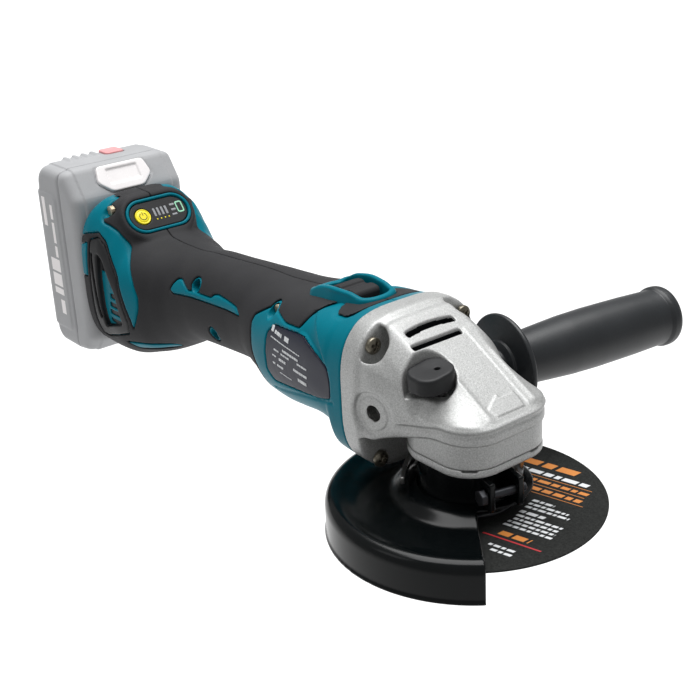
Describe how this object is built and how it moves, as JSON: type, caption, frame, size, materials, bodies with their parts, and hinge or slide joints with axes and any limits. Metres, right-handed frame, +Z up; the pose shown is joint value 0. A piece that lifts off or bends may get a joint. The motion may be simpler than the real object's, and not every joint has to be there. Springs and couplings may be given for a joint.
{
  "type": "cordless angle grinder",
  "caption": "Cordless angle grinder with a cast gear head, half guard, abrasive cutting wheel, screw-in side handle, slide switch, rubber-skinned grip and slide-on battery pack.",
  "frame": {"origin": "centre of the spindle's end face, on the spindle axis", "axes": "+X from the battery to the gear head, +Y to the side the side handle is fitted on, +Z up along the spindle"},
  "size_m": [0.4045, 0.2194, 0.1197],
  "materials": {
    "cast": "satin die-cast",
    "steel": "machined",
    "dark_steel": "black oxide",
    "guard_black": "gloss black paint",
    "teal": "satin moulded",
    "soft_grip": "fine moulded texture",
    "black_plastic": "satin moulded",
    "handle_plastic": "satin moulded",
    "abrasive": "resin-bonded grit",
    "plate": "printed film",
    "yellow": "satin",
    "copper": "enamelled wire",
    "board": "solder mask",
    "pack_grey": "satin moulded",
    "latch_white": "satin moulded",
    "pink": "satin",
    "screw": "zinc passivated",
    "red_wire": "insulation",
    "magnet": "ground"
  },
  "bodies": {
    "tool": {"gear_housing": "cast", "bearing_cover": "cast", "head_screw_lower_right": "screw", "head_screw_upper_right": "screw", "head_screw_lower_left": "screw", "head_screw_upper_left": "screw", "lower_spindle_bearing": "steel", "upper_spindle_bearing": "steel", "pinion_bearing": "steel", "rear_motor_bearing": "steel", "stator": "magnet", "stator_winding": "copper", "body_shell_left": "teal", "body_shell_right": "teal", "grip_skin_left": "soft_grip", "grip_skin_right": "soft_grip", "vent_grille_left": "black_plastic", "vent_grille_right": "black_plastic", "data_plate_left": "plate", "data_plate_right": "plate", "body_screw_1": "screw", "body_screw_2": "screw", "body_screw_3": "screw", "body_screw_4": "screw", "switch_frame": "teal", "display_ring": "teal", "display_panel": "black_plastic", "control_board": "board", "heat_sink": "cast", "trigger_switch": "black_plastic", "terminal_block": "black_plastic", "red_lead": "red_wire", "black_lead": "soft_grip", "guard_lever_pin": "screw"},
    "spindle_group": {"spindle": "steel", "crown_gear": "steel", "inner_flange": "dark_steel", "cutting_wheel": "abrasive", "clamp_nut": "dark_steel"},
    "motor_group": {"motor_shaft": "steel", "rotor": "magnet", "pinion": "steel", "cooling_fan": "black_plastic"},
    "spindle_lock": {"lock_button": "black_plastic", "lock_pin": "steel", "lock_spring": "steel"},
    "switch": {"switch_slider": "soft_grip", "switch_rod": "black_plastic"},
    "power_key": {"power_button": "yellow"},
    "guard": {"guard_shell": "guard_black", "guard_collar": "guard_black", "clamp_bolt": "steel"},
    "release_lever": {"guard_lever": "steel"},
    "side_handle": {"side_handle_grip": "handle_plastic", "side_handle_stud": "steel"},
    "battery": {"battery_case": "pack_grey", "battery_lid": "pack_grey", "cell_pack": "magnet"},
    "latch": {"battery_latch": "latch_white"},
    "gauge_key": {"gauge_button": "pink"}
  },
  "joints": [
    {"name": "spindle_spin", "type": "hinge", "parent": "tool", "child": "spindle_group", "pos_m": [0, 0, 0.012], "axis": [0, 0, 1], "continuous": true},
    {"name": "motor_spin", "type": "hinge", "parent": "tool", "child": "motor_group", "pos_m": [0, 0, 0.0585], "axis": [1, 0, 0], "continuous": true},
    {"name": "lock_press", "type": "slide", "parent": "tool", "child": "spindle_lock", "axis": [0, 0, -1], "range_m": [0, 0.0032], "stiffness_N_per_m": 600, "springref_m": -0.001, "deforming": ["lock_spring"]},
    {"name": "switch_slide", "type": "slide", "parent": "tool", "child": "switch", "axis": [1, 0, 0], "range_m": [0, 0.005]},
    {"name": "power_press", "type": "slide", "parent": "tool", "child": "power_key", "axis": [-0.759, 0, -0.651], "range_m": [0, 0.0008], "stiffness_N_per_m": 600, "springref_m": -0.0005},
    {"name": "guard_turn", "type": "hinge", "parent": "tool", "child": "guard", "pos_m": [0, 0, 0.012], "axis": [0, 0, 1], "range_deg": [-50, 90]},
    {"name": "lever_swing", "type": "hinge", "parent": "tool", "child": "release_lever", "pos_m": [-0.029, -0.007, 0.027], "axis": [0, 0, -1], "range_deg": [0, 12], "stiffness_Nm_per_rad": 0.2},
    {"name": "handle_draw", "type": "slide", "parent": "tool", "child": "side_handle", "axis": [0.1305, 0.9914, 0], "range_m": [0, 0.02]},
    {"name": "battery_slide", "type": "slide", "parent": "tool", "child": "battery", "axis": [0, 0, 1], "range_m": [0, 0.1]},
    {"name": "latch_press", "type": "slide", "parent": "battery", "child": "latch", "axis": [-0.8, 0, -0.6], "range_m": [0, 0.003], "stiffness_N_per_m": 500, "springref_m": -0.001},
    {"name": "gauge_press", "type": "slide", "parent": "battery", "child": "gauge_key", "axis": [0, 0, -1], "range_m": [0, 0.0008], "stiffness_N_per_m": 600, "springref_m": -0.0005}
  ],
  "couplings": [
    {"joint": "motor_spin", "follows": "spindle_spin", "ratio": -3.4286}
  ]
}
